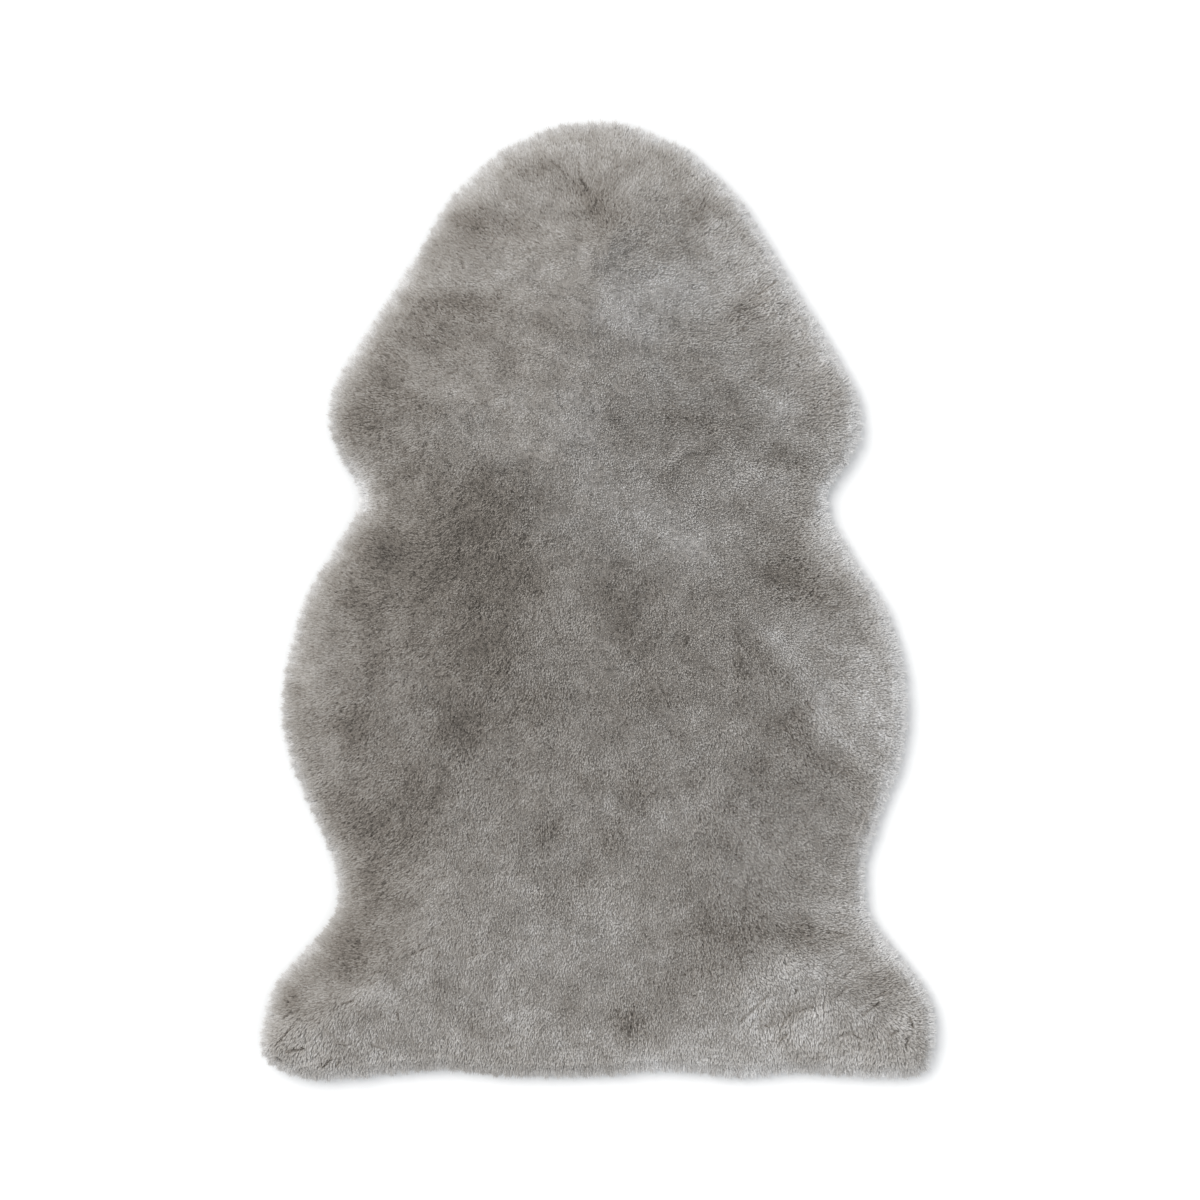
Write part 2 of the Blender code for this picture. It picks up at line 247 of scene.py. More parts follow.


# Set from blurred tones measured in the photo, and corrected where the render still differed.
# Partly painted shade and light: dark patches in creases, hollows, the whorl, along the lower rim
# and where the nap opens or leans from the lamp; rim patches that even out the lamp's light and
# shade at the edge.
PATCHES = (
    Patch("crown whorl", -10, 384, 18, 12, -50, -0.23),
    Patch("beside the whorl", 8, 366, 28, 14, 0, -0.18),
    Patch("left of the crown", -60, 405, 28, 12, 0, -0.17),
    Patch("neck end, pale", 0, 300, 190, 120, 0, 0.05),
    Patch("forehead, pale", -70, 300, 50, 24, 0, 0.05),
    Patch("left temple", -122, 355, 28, 16, -15, -0.24),
    Patch("right temple", 92, 365, 14, 16, -30, -0.12),
    Patch("right temple, pale", 128, 312, 34, 24, -45, 0.12),
    Patch("poll, pale", 40, 256, 40, 18, -15, 0.17),
    Patch("poll, right, pale", 62, 294, 56, 26, 0, 0.19),
    Patch("neck crease", -135, 280, 50, 12, -5, -0.20),
    Patch("neck crease, end", -60, 262, 36, 9, -22, -0.09),
    Patch("left neck", -146, 250, 44, 30, 0, -0.19),
    Patch("left neck, outer", -200, 232, 24, 30, -20, -0.15),
    Patch("right neck", 137, 272, 20, 12, 25, -0.19),
    Patch("nape, right", 76, 234, 13, 15, 30, -0.08),
    Patch("nape, far right", 108, 212, 18, 8, -35, -0.06),
    Patch("nape, pale", 20, 228, 50, 14, 0, 0.04),
    Patch("left shoulder", -226, 172, 28, 28, -35, -0.25),
    Patch("left armpit", -185, 128, 34, 20, -20, -0.10),
    Patch("left shoulder, inner", -178, 188, 30, 12, -15, -0.21),
    Patch("left chest, pale", -95, 170, 72, 32, -5, 0.05),
    Patch("left chest, inner, pale", -16, 168, 26, 32, 0, 0.16),
    Patch("withers", 48, 172, 50, 13, 5, -0.08),
    Patch("withers, right", 118, 162, 36, 16, 0, -0.04),
    Patch("right armpit arc", 180, 134, 34, 11, -35, -0.09),
    Patch("withers, lower edge", 68, 122, 36, 9, 40, -0.06),
    Patch("right shoulder, pale", 172, 176, 22, 22, 0, 0.16),
    Patch("right chest, pale", 125, 112, 46, 18, 0, 0.12),
    Patch("back, pale", 60, 62, 52, 32, -25, 0.165),
    Patch("left side", -150, 0, 115, 125, 0, -0.16),
    Patch("left ribs, upper", -105, 90, 46, 32, 0, -0.18),
    Patch("left ribs, middle", -138, 28, 56, 34, 0, -0.15),
    Patch("left elbow", -208, 45, 24, 24, 0, -0.20),
    Patch("left ribs, outer", -225, 0, 24, 22, 0, -0.17),
    Patch("left ribs, inner", -52, 18, 24, 28, 0, -0.08),
    Patch("left ribs, lower", -112, -45, 36, 26, 0, -0.12),
    Patch("left belly", -126, -112, 26, 30, 0, -0.18),
    Patch("left belly, inner", -58, -98, 28, 24, 0, -0.13),
    Patch("left belly, outer", -226, -118, 22, 26, 0, -0.18),
    Patch("left flank", -175, -170, 60, 36, 0, -0.12),
    Patch("right ribs", 178, 34, 34, 32, -35, -0.17),
    Patch("right ribs, lower end", 198, 2, 18, 12, 0, -0.11),
    Patch("spine", 25, 8, 38, 32, 0, -0.12),
    Patch("spine, lower", 60, -40, 50, 28, 0, -0.10),
    Patch("spine, left spot", 18, -95, 20, 16, 0, -0.08),
    Patch("right belly", 150, -68, 30, 34, -30, -0.10),
    Patch("spine, tail end", 52, -92, 30, 20, 0, -0.07),
    Patch("right belly, edge", 178, -122, 28, 20, -30, -0.13),
    Patch("right flank, low", 165, -175, 62, 30, 0, -0.06),
    Patch("right flank crease", 232, -162, 30, 12, -25, -0.12),
    Patch("right flank, streak", 171, -45, 36, 9, -48, 0.20),
    Patch("right flank, pale", 240, -95, 44, 52, 0, 0.16),
    Patch("right side, pale", 190, -28, 30, 16, -20, 0.08),
    Patch("right elbow, pale", 212, 60, 16, 22, 0, 0.12),
    Patch("back, left of spine, pale", -30, 5, 12, 22, 0, 0.06),
    Patch("left hip", -218, -208, 44, 26, 0, -0.27),
    Patch("left groin", -220, -262, 28, 38, 0, -0.17),
    Patch("loin, left", -46, -218, 20, 16, 0, -0.14),
    Patch("loin, right", 40, -176, 20, 18, 0, -0.13),
    Patch("loin, middle", 4, -226, 24, 14, 0, -0.12),
    Patch("loin, lower", -16, -260, 20, 13, 0, -0.12),
    Patch("left flank, rim", -286, -110, 15, 66, 10, -0.16),
    Patch("rump, pale", -70, -340, 110, 44, 0, 0.06),
    Patch("tail end, pale", -55, -388, 44, 20, 0, 0.06),
    Patch("rump, middle, pale", 8, -328, 26, 20, 0, 0.05),
    Patch("left hind, pale", -205, -370, 30, 18, 0, 0.10),
    Patch("left toe, pale", -268, -404, 20, 10, 0, 0.04),
    Patch("left thigh", -238, -325, 34, 32, 0, -0.27),
    Patch("left toe", -286, -368, 22, 26, 0, -0.19),
    Patch("rump, right", 122, -312, 38, 26, 15, -0.14),
    Patch("right thigh", 190, -312, 28, 17, 0, -0.13),
    Patch("right rump, crease", 80, -360, 46, 20, 20, -0.09),
    Patch("tail", 28, -396, 14, 16, 0, -0.26),
    Patch("tail, left", -28, -380, 13, 20, 0, -0.14),
    Patch("right hind, pale", 205, -375, 112, 42, 12, 0.12),
    Patch("right groin, pale", 216, -283, 22, 16, 0, 0.09),
    Patch("right hind, tuft", 186, -346, 30, 16, 10, 0.12),
    Patch("right hind, hollow", 270, -358, 28, 20, 0, -0.19),
    Patch("right hind, crease", 186, -384, 30, 8, 25, -0.13),
    Patch("lower rim", -90, -443, 220, 14, 0, -0.09),
    Patch("left toe, rim", -300, -424, 18, 26, 0, -0.12),
    Patch("right toe, rim", 306, -395, 15, 44, 0, -0.12),
    Patch("right shoulder, rim, pale", 242, 165, 12, 30, 0, 0.11),
    Patch("right flank, low, pale", 268, -168, 16, 24, 0, 0.08),
    Patch("loin, upper", -9, -172, 22, 18, 0, -0.11),
    Patch("left poll", -84, 226, 24, 30, 0, -0.09),
    Patch("loin, far left", -98, -253, 20, 16, 0, -0.06),
    Patch("loin, right, pale", 82, -198, 26, 20, 0, 0.09),
    Patch("under the whorl", -11, 346, 18, 14, 0, -0.14),
    Patch("left ribs, rim side, pale", -244, -18, 14, 18, 0, 0.07),
    Patch("right rump, rim side, pale", 127, -438, 30, 12, 0, 0.05),
    Patch("right hip, rim", 257, -262, 12, 46, 0, -0.09),
    Patch("tail end, rim", -110, -432, 30, 12, 0, -0.05),
    Patch("left forehead", -68, 350, 24, 22, 0, -0.09),
    Patch("left shoulder, rim", -244, 208, 14, 26, -30, -0.09),
    Patch("left elbow, rim", -256, 28, 14, 20, 0, -0.05),
    Patch("right loin, pale", 155, -250, 22, 16, 0, 0.06),
    Patch("crown, middle", 16, 414, 20, 12, 0, -0.07),
    Patch("left hip, inner", -178, -222, 14, 14, 0, -0.11),
    Patch("crown, right", 68, 418, 22, 16, -25, -0.14),
    Patch("crown, rim", -14, 444, 54, 14, 0, -0.15),
    Patch("left flank, low", -250, -170, 22, 20, 0, -0.08),
    Patch("left side, lower", -215, -58, 24, 20, 0, -0.08),
    Patch("left groin, inner", -184, -278, 18, 30, 0, -0.11),
    Patch("tail end, left", -112, -398, 22, 12, 0, -0.11),
    Patch("nape, right, pale", 134, 221, 16, 12, 0, 0.09),
    Patch("rump, left of the tail, pale", -49, -336, 20, 16, 0, 0.08),
    Patch("left chest, lower, pale", -90, 145, 36, 14, 0, 0.07),
    Patch("middle of the back, pale", -20, 100, 42, 46, 0, 0.10),
    Patch("left notch, pale", -220, 98, 14, 18, 0, 0.20),
    Patch("right temple, rim", 139, 358, 14, 24, 35, -0.13),
    Patch("left temple, rim", -160, 330, 16, 40, -35, -0.11),
    Patch("belly edge, upper", 150, -48, 28, 6, -47, -0.06),
    Patch("belly edge, middle", 188, -103, 8, 20, 0, -0.08),
    Patch("flank edge, pale", 211, -106, 9, 26, 5, 0.07),
    Patch("flank edge, low, pale", 237, -137, 24, 8, -35, 0.07),
)


class Brushed(NamedTuple):
    """Wool that is brushed up into longer tufts. Millimetres, and an amount up to 1."""

    place: str
    across: float
    along: float
    reach: float
    amount: float


BRUSHED = (
    Brushed("right hind", 190, -372, 70, 1.0),
    Brushed("right toe", 260, -395, 55, 1.0),
    Brushed("left toe", -275, -405, 45, 0.9),
    Brushed("right groin", 222, -300, 30, 0.6),
    Brushed("right flank", 238, -95, 45, 0.2),
    Brushed("right temple", 150, 268, 40, 0.5),
    Brushed("right armpit", 205, 190, 30, 0.4),
)


class Parting(NamedTuple):
    """A place where the wool parts along a short line. Millimetres."""

    place: str
    start: tuple
    end: tuple
    width: float
    depth: float

    def line(self):
        """Where it starts, and the way to its end, in metres."""
        return np.array(self.start) * MM, (np.array(self.end) - self.start) * MM


PARTINGS = (
    Parting("left toe, lower", (-292, -422), (-276, -419), 1.2, 4.5),
    Parting("left toe, upper", (-300, -413), (-289, -401), 1.0, 4.0),
    Parting("left toe, top", (-296, -390), (-288, -384), 0.8, 2.5),
    Parting("left toe, rim", (-301, -427), (-296, -431), 0.8, 3.0),
    Parting("left hind, rim", (-259, -438), (-250, -430), 1.0, 4.0),
    Parting("left hind, rim, short", (-246, -437), (-242, -432), 1.0, 3.5),
    Parting("left hind, crease", (-247, -414), (-236, -416), 1.0, 2.0),
    Parting("left hind, low crease", (-212, -416), (-201, -419), 1.0, 2.0),
    Parting("left hind, dot", (-240, -377), (-230, -374), 1.0, 3.0),
    Parting("left hind, inner", (-188, -386), (-187, -393), 1.1, 2.0),
    Parting("left rump, long", (-176, -331), (-157, -323), 1.0, 3.2),
    Parting("left rump, low", (-149, -329), (-151, -335), 1.0, 2.2),
    Parting("left rump, short", (-127, -334), (-114, -331), 0.8, 2.2),
    Parting("left loin", (-164, -262), (-144, -258), 0.8, 2.2),
    Parting("left loin, dot", (-147, -285), (-144, -283), 1.0, 2.0),
    Parting("tail end, left", (-86, -419), (-79, -418), 1.0, 2.2),
    Parting("right hind, dot", (184, -368), (187, -364), 1.1, 3.5),
    Parting("right hind, streak", (171, -399), (180, -387), 1.1, 3.2),
    Parting("right hind, streak end", (188, -384), (201, -380), 1.1, 3.2),
    Parting("right hind, inner streak", (152, -400), (163, -395), 1.0, 2.4),
    Parting("right hind, low", (170, -412), (176, -406), 1.0, 2.4),
    Parting("right hind, diagonal", (133, -394), (158, -370), 1.2, 1.8),
    Parting("right hind, upper", (223, -371), (234, -361), 1.1, 4.0),
    Parting("right hind, top", (231, -351), (241, -342), 1.0, 3.0),
    Parting("right hind, rim side", (249, -387), (264, -376), 1.0, 3.4),
    Parting("right hind, rim, upper", (261, -371), (270, -365), 1.0, 2.8),
    Parting("right toe, curl", (224, -408), (238, -405), 1.0, 2.8),
    Parting("right toe, curl end", (238, -405), (246, -411), 1.0, 3.5),
    Parting("right toe, dot", (275, -406), (282, -402), 1.0, 2.8),
    Parting("right toe, upper", (292, -390), (295, -399), 1.0, 3.8),
    Parting("right toe, lower", (291, -407), (288, -418), 1.1, 4.2),
    Parting("right groin", (217, -309), (230, -311), 1.1, 3.5),
    Parting("right thigh, crease", (134, -332), (144, -328), 1.0, 2.4),
    Parting("right flank, upper edge", (214, 6), (205, -6), 1.2, 1.8),
    Parting("right flank, lower edge", (196, -96), (201, -103), 1.5, 2.0),
    Parting("belly dot", (74, -96), (77, -94), 1.0, 2.2),
    Parting("loin dot", (-18, -268), (-15, -266), 1.0, 2.0),
    Parting("right temple", (150, 287), (167, 300), 1.2, 2.2),
    Parting("right temple, dot", (134, 254), (138, 256), 1.0, 2.2),
    Parting("right temple, low dot", (186, 222), (189, 219), 1.0, 2.2),
    Parting("crown whorl", (-17, 397), (-12, 389), 1.2, 3.2),
    Parting("crown, left streak", (-44, 413), (-33, 402), 1.2, 1.6),
    Parting("crown, middle streak", (-20, 416), (-17, 402), 1.0, 1.6),
    Parting("forehead tick", (-128, 319), (-127, 312), 1.0, 2.0),
    Parting("left chest, streak", (-110, 185), (-94, 192), 1.0, 1.8),
    Parting("left chest, dot", (-89, 177), (-82, 182), 1.0, 1.8),
)


def unit(vectors):
    return vectors / np.maximum(np.linalg.norm(vectors, axis=1), 1e-12)[:, None]


def vectors_of(items, name):
    found = np.empty(len(items) * 3, np.float32)
    items.foreach_get(name, found)
    return found.reshape(-1, 3).astype(float)


def between(net, low, u, v):
    """A grid's values beyond its knots at low, by these shares of a step along each side."""
    x, y = low.T
    lower = net[x, y] * (1 - u) + net[x + 1, y] * u
    upper = net[x, y + 1] * (1 - u) + net[x + 1, y + 1] * u
    return lower * (1 - v) + upper * v


def soft_noise(flat, cell, seed):
    """Smooth noise from -1 to 1 with bumps about a cell across."""
    count = int(2 * HALF_SPAN / cell) + 3
    net = np.random.default_rng((SEED, seed)).uniform(-1, 1, (count, count))
    at = np.clip((flat + HALF_SPAN) / cell, 0, count - 1.001)
    low = np.floor(at).astype(int)
    share = at - low
    return between(net, low, *(share * share * (3 - 2 * share)).T)


class Pelt:
    """The pelt's surface as grids: the heights of its top and sole, the depth in from its rim,
    the way out of the rim, and the slow drift of the nap towards it.
    """

    def __init__(self, solid):
        mesh = solid.data
        faces = [tuple(p.vertices) for p in mesh.polygons]
        self.tree = BVHTree.FromPolygons([v.co for v in mesh.vertices], faces)
        low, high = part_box(NODE)
        self.low = np.array(low[:2]) - 3 * GRID_STEP
        self.count = np.ceil((np.array(high[:2]) - self.low) / GRID_STEP).astype(int) + 3
        top = self._heights(1.0, -1)
        self.inside = ~np.isnan(top)
        self.top = np.nan_to_num(top)
        self.sole = np.nan_to_num(self._heights(-1.0, 1))
        self.depth = self._depths()
        slope = self._slope(RIM_BLUR)
        self.out = -slope / np.maximum(np.linalg.norm(slope, axis=-1), 1e-9)[..., None]
        self.drift = -self._slope(DRIFT_BLUR)

    def _spots(self):
        x, y = (self.low[k] + GRID_STEP * np.arange(self.count[k]) for k in (0, 1))
        return np.stack(np.meshgrid(x, y, indexing="ij"), axis=-1)

    def _heights(self, start, way):
        found = np.full(self.count, np.nan)
        for (i, j), (x, y) in zip(np.ndindex(*self.count), self._spots().reshape(-1, 2)):
            hit = self.tree.ray_cast(Vector((x, y, start)), Vector((0, 0, way)))[0]
            if hit is not None:
                found[i, j] = hit.z
        return found

    def _depths(self):
        near = np.zeros(self.count, bool)
        for axis in (0, 1):
            for shift in (1, -1):
                near |= np.roll(self.inside, shift, axis) & ~self.inside
        spots = self._spots()
        rim = KDTree(int(near.sum()))
        for i, (x, y) in enumerate(spots[near]):
            rim.insert((x, y, 0), i)
        rim.balance()
        away = [rim.find((x, y, 0))[2] for x, y in spots.reshape(-1, 2)]
        away = np.array(away).reshape(self.count)
        return np.where(self.inside, away - GRID_STEP / 2, -away)

    def _slope(self, rounds):
        """How the depth grows along each side of the grid, after rounds of smoothing."""
        field = self.depth
        for _ in range(rounds):
            for axis in (0, 1):
                field = (np.roll(field, 1, axis) + 2 * field + np.roll(field, -1, axis)) / 4
        return np.stack(np.gradient(field, GRID_STEP), axis=-1)

    def at(self, field, flat):
        """The grid's value at these points, between its knots in proportion."""
        at = np.clip((flat - self.low) / GRID_STEP, 0, self.count - 1.001)
        low = np.floor(at).astype(int)
        u, v = (at - low).T
        if field.ndim == 3:
            u, v = u[:, None], v[:, None]
        return between(field, low, u, v)


def tone_at(pelt, flat):
    """How pale the wool is painted here, from 0 to 1: its own tone, painted light and shade in the
    patches, and painted light at the rim.
    """
    tone = np.full(len(flat), TONE)
    for row in PATCHES:
        turn = math.radians(row.turn)
        d = flat / MM - (row.across, row.along)
        u = (d[:, 0] * math.cos(turn) + d[:, 1] * math.sin(turn)) / row.length
        v = (d[:, 1] * math.cos(turn) - d[:, 0] * math.sin(turn)) / row.width
        tone += row.amount * np.exp(-(u * u + v * v))
    for cell, amount, seed in TONE_NOISE:
        tone += amount * soft_noise(flat, cell, seed)
    depth = np.maximum(pelt.at(pelt.depth, flat), 0)
    right, up = pelt.at(pelt.out, flat).T
    left = np.maximum(-right, 0)
    # Painted light: paler towards the rim, and paler still at the outermost edge.
    tone += RIM_PAINTED_LIGHT * np.exp(-depth / (RIM_PAINTED_LIGHT_REACH * (1 - RIM_LEFT_SHARE * left)))
    plain, by_up, by_right, by_side = EDGE_SIDES
    edge = EDGE_PAINTED_LIGHT * (plain + by_up * up + by_right * right + by_side * right * right)
    return tone + edge * np.exp(-((depth / EDGE_PAINTED_LIGHT_REACH) ** 2))


def brushed_at(flat):
    """How far the wool is brushed up, from 0 to 1."""
    most = np.zeros(len(flat))
    for row in BRUSHED:
        away = np.hypot(*(flat / MM - (row.across, row.along)).T) / row.reach
        most = np.maximum(most, row.amount * np.exp(-(away**4)))
    return most


def kept_apart(tip, root):
    """Moves the roots of locks that would cross a parting back to their own side of it."""
    for row in PARTINGS:
        start, run = row.line()
        length = np.linalg.norm(run)
        across = np.array((-run[1], run[0])) / length
        along = (tip[:, :2] - start) @ run / length**2
        ahead, behind = (tip[:, :2] - start) @ across, (root[:, :2] - start) @ across
        beside = (np.abs(along - 0.5) < 0.6) & (np.abs(ahead) < LOCK_LENGTH)
        crossing = beside & (ahead * behind < 0)
        shift = (0.15 * ahead - behind)[:, None] * across
        root[crossing, :2] += shift[crossing]


def partings_at(flat):
    """How deep the wool is parted, how far that is from 0 to 1, and the way off each line."""
    deep, share, off = np.zeros(len(flat)), np.zeros(len(flat)), np.zeros(flat.shape)
    for row in PARTINGS:
        start, run = row.line()
        along = np.clip((flat - start) @ run / (run @ run), 0, 1)
        away = flat - start - along[:, None] * run
        near = np.exp(-((np.hypot(*away.T) / (row.width * MM)) ** 2))
        deep = np.maximum(deep, row.depth * MM * near)
        share = np.maximum(share, near)
        off += unit(away) * near[:, None]
    return deep, share, off


def nap_at(pelt, flat):
    """The flat direction in which the wool leans: away from the hub, and out at the rim."""
    rim = np.exp(-np.maximum(pelt.at(pelt.depth, flat), 0) / NAP_REACH)[:, None]
    away = flat - NAP_HUB
    flow = away / (np.linalg.norm(away, axis=1)[:, None] + NAP_HUB_SIZE)
    for cell, amount, seed in NAP_NOISE:
        flow[:, 0] += amount * soft_noise(flat, cell, seed)
        flow[:, 1] += amount * soft_noise(flat, cell, seed + 1)
    return unit(flow * (1 - rim) + NAP_RIM * pelt.at(pelt.drift, flat) * rim)


def drawn_out(flat, nap, cell, seed):
    """Noise drawn out along the nap, about -1 to 1."""
    steps = (-2, -1, 0, 1, 2)
    total = sum(soft_noise(flat + nap * (DRAWN_STEP * k * cell), cell, seed) for k in steps)
    return total / len(steps) * DRAWN_GAIN


def remeshed(solid, voxel, name):
    """A copy of the solid as an even net of small quads."""
    copy = bpy.data.objects.new(name, solid.data.copy())
    bpy.context.scene.collection.objects.link(copy)
    remesh = copy.modifiers.new("remesh", "REMESH")
    remesh.mode = "VOXEL"
    remesh.voxel_size = voxel
    made = copy.evaluated_get(bpy.context.evaluated_depsgraph_get())
    mesh = bpy.data.meshes.new_from_object(made)
    bpy.data.objects.remove(copy)
    mesh.name = name
    return mesh


def mesh_object(name, points, faces, uv, normals, material):
    """A smooth triangle mesh. The map, and any normals, are given at its points."""
    mesh = bpy.data.meshes.new(name)
    mesh.vertices.add(len(points))
    mesh.vertices.foreach_set("co", points.astype(np.float32).ravel())
    mesh.loops.add(faces.size)
    mesh.loops.foreach_set("vertex_index", faces.astype(np.int32).ravel())
    mesh.polygons.add(len(faces))
    mesh.polygons.foreach_set("loop_start", np.arange(0, faces.size, 3, dtype=np.int32))
    mesh.update(calc_edges=True)
    layer = mesh.uv_layers.new(name="OFBake")
    layer.uv.foreach_set("vector", uv[faces.ravel()].astype(np.float32).ravel())
    mesh.shade_smooth()
    if normals is not None:
        mesh.normals_split_custom_set_from_vertices(normals)
    mesh.materials.append(material)
    made = bpy.data.objects.new(name, mesh)
    bpy.context.scene.collection.objects.link(made)
    return made


class Wool(NamedTuple):
    """Locks of wool, one a row: where each starts and ends, the side it shows, and its tone."""

    root: np.ndarray
    tip: np.ndarray
    front: np.ndarray
    half_width: np.ndarray
    tone: np.ndarray


def locks(name, wool, material):
    """A mesh of closed, flattened locks that taper to both ends, four triangles each.

    The map holds a lock's tone across, and its root to tip upwards.
    """
    count = len(wool.root)
    run = wool.tip - wool.root
    axis = unit(run)
    front = unit(wool.front - (wool.front * axis).sum(axis=1)[:, None] * axis)
    side = np.cross(axis, front)
    width = wool.half_width[:, None]
    waist = wool.root + run * LOCK_WAIST - front * LOCK_KEEL * width
    points = np.stack([wool.root, waist - side * width, waist + side * width, wool.tip], axis=1)
    points[:, :, 2] = np.maximum(points[:, :, 2], LOWEST_CORNER)
    pattern = np.array([[0, 2, 3], [0, 3, 1], [0, 1, 2], [3, 2, 1]])
    faces = (np.arange(count)[:, None, None] * 4 + pattern).reshape(-1, 3)
    uv = np.empty((count, 4, 2))
    uv[:, :, 0] = wool.tone[:, None] + np.array([0, -MAP_HALF_WIDTH, MAP_HALF_WIDTH, 0])
    uv[:, :, 1] = np.array([MAP_RANGE[0], LOCK_WAIST, LOCK_WAIST, MAP_RANGE[1]])
    soft = wool.front + NORMAL_FRONT * front
    turned = NORMAL_SIDE * side
    normals = np.stack([soft, soft - turned, soft + turned, soft + NORMAL_TIP * axis], axis=1)
    normals = unit(normals.reshape(-1, 3))
    return mesh_object(name, points.reshape(-1, 3), faces, uv.reshape(-1, 2), normals, material)


def ramp(nodes, name, stops):
    made = nodes.new("ShaderNodeValToRGB")
    made.name = name
    ends = made.color_ramp.elements
    while len(ends) < len(stops):
        ends.new(1)
    for end, (at, colour) in zip(ends, stops):
        end.position = at
        end.color = (*colour, 1)
    return made


def times(nodes, links, one, other):
    """Two colours multiplied."""
    mix = nodes.new("ShaderNodeMix")
    mix.data_type = "RGBA"
    mix.blend_type = "MULTIPLY"
    mix.inputs["Factor"].default_value = 1
    links.new(one, mix.inputs["A"])
    links.new(other, mix.inputs["B"])
    return mix.outputs["Result"]


def wool_material():
    """Wool whose tone is read across its map, and its painted shade from root to tip up it."""
    material = bpy.data.materials.new("wool")
    material.use_nodes = True
    nodes, links = material.node_tree.nodes, material.node_tree.links
    shader = nodes["Principled BSDF"]
    place = nodes.new("ShaderNodeUVMap")
    place.uv_map = "OFBake"
    apart = nodes.new("ShaderNodeSeparateXYZ")
    links.new(place.outputs["UV"], apart.inputs[0])
    tone = ramp(nodes, "tone", WOOL_TONES)
    links.new(apart.outputs["X"], tone.inputs["Fac"])
    tip = ramp(nodes, "root to tip", WOOL_ROOT_SHADE)
    links.new(apart.outputs["Y"], tip.inputs["Fac"])
    stretch = nodes.new("ShaderNodeMapping")
    stretch.inputs["Scale"].default_value = (FIBRES_ACROSS, FIBRES_ALONG, 1)
    links.new(place.outputs["UV"], stretch.inputs["Vector"])
    fibre = nodes.new("ShaderNodeTexNoise")
    fibre.inputs["Scale"].default_value = 1
    fibre.inputs["Detail"].default_value = 1
    links.new(stretch.outputs["Vector"], fibre.inputs["Vector"])
    streaks = ramp(nodes, "fibres", WOOL_FIBRES)
    links.new(fibre.outputs["Fac"], streaks.inputs["Fac"])
    colour = times(nodes, links, tone.outputs["Color"], tip.outputs["Color"])
    colour = times(nodes, links, colour, streaks.outputs["Color"])
    links.new(colour, shader.inputs["Base Color"])
    shader.inputs["Roughness"].default_value = 0.85
    shader.inputs["Specular IOR Level"].default_value = 0.25
    shader.inputs["Sheen Weight"].default_value = 0.15
    shader.inputs["Sheen Roughness"].default_value = 0.6
    return material


def hide_material():
    """Suede, the flesh side of the tanned hide: a fine nap, with paler and darker clouds."""
    material = bpy.data.materials.new("hide")
    material.use_nodes = True
    nodes, links = material.node_tree.nodes, material.node_tree.links
    shader = nodes["Principled BSDF"]
    place = nodes.new("ShaderNodeTexCoord")
    cloud = nodes.new("ShaderNodeTexNoise")
    cloud.inputs["Scale"].default_value = 14
    cloud.inputs["Detail"].default_value = 4
    links.new(place.outputs["Object"], cloud.inputs["Vector"])
    fine = nodes.new("ShaderNodeTexNoise")
    fine.inputs["Scale"].default_value = 900
    fine.inputs["Detail"].default_value = 3
    links.new(place.outputs["Object"], fine.inputs["Vector"])
    shade = ramp(nodes, "clouds", HIDE_CLOUDS)
    links.new(cloud.outputs["Fac"], shade.inputs["Fac"])
    nap = ramp(nodes, "nap", HIDE_NAP)
    links.new(fine.outputs["Fac"], nap.inputs["Fac"])
    colour = times(nodes, links, shade.outputs["Color"], nap.outputs["Color"])
    links.new(colour, shader.inputs["Base Color"])
    bump = nodes.new("ShaderNodeBump")
    bump.inputs["Strength"].default_value = 0.25
    bump.inputs["Distance"].default_value = 0.6 * MM
    links.new(fine.outputs["Fac"], bump.inputs["Height"])
    links.new(bump.outputs["Normal"], shader.inputs["Normal"])
    shader.inputs["Roughness"].default_value = 0.92
    shader.inputs["Specular IOR Level"].default_value = 0.2
    shader.inputs["Sheen Weight"].default_value = 0.2
    return material


def skin_points(pelt, solid):
    """Even points on the wool's outer surface, with their normals."""
    skin = remeshed(solid, SKIN_VOXEL, "skin")
    points = vectors_of(skin.vertices, "co")
    normals = unit(vectors_of(skin.vertices, "normal"))
    bpy.data.meshes.remove(skin)
    flat, facing = points[:, :2], normals[:, 2]
    hide = pelt.at(pelt.sole, flat - HIDE_INSET * pelt.at(pelt.out, flat))
    kept = (facing > WALL_LEAST_FACING) | (points[:, 2] > hide + SOLE_CLEARANCE)
    kept &= facing > SOLE_FACING
    return points[kept], normals[kept]


def fan_at(pelt, points):
    """The way from the hide's edge out to each point, and how far the wool there follows it."""
    flat, depth = points[:, :2], pelt.at(pelt.depth, points[:, :2])
    way = pelt.at(pelt.out, flat) * np.maximum(HIDE_INSET - depth, FAN_LEAST)[:, None]
    height = points[:, 2] - pelt.at(pelt.sole, flat - way) - HIDE_THICKNESS
    share = np.exp(-((np.maximum(depth, 0) / FAN_REACH) ** 2))
    share = np.maximum(share, height < FAN_HEIGHT)
    return unit(np.column_stack([way, height])), share[:, None]


def nearest(centres, points):
    """Which centre is the nearest to each point."""
    tree = KDTree(len(centres))
    for i, p in enumerate(centres):
        tree.insert(p, i)
    tree.balance()
    return np.array([tree.find(p)[1] for p in points])


def tuft_centres(points, pitch, chance):
    """One point of every cell of a coarse grid."""
    cells = np.floor(points / pitch).astype(int)
    mixed = chance.permutation(len(points))
    first = np.unique(cells[mixed], axis=0, return_index=True)[1]
    return points[mixed[first]]


def uneven_at(pelt, flat, depth, tone):
    """How uneven the wool is: most where it is dark, least at the rim and along the left side."""
    uneven = 1 - CALM_RIM * np.exp(-depth / CALM_REACH)
    uneven *= np.clip(1 + CALM_PALE * (CALM_TONE - tone), *CALM_RANGE)
    right, up = pelt.at(pelt.out, flat).T
    left = np.clip(CALM_CROWN * up - right, 0, 1)
    return uneven * (1 - CALM_LEFT * left * np.exp(-((depth / CALM_LEFT_REACH) ** 2)))


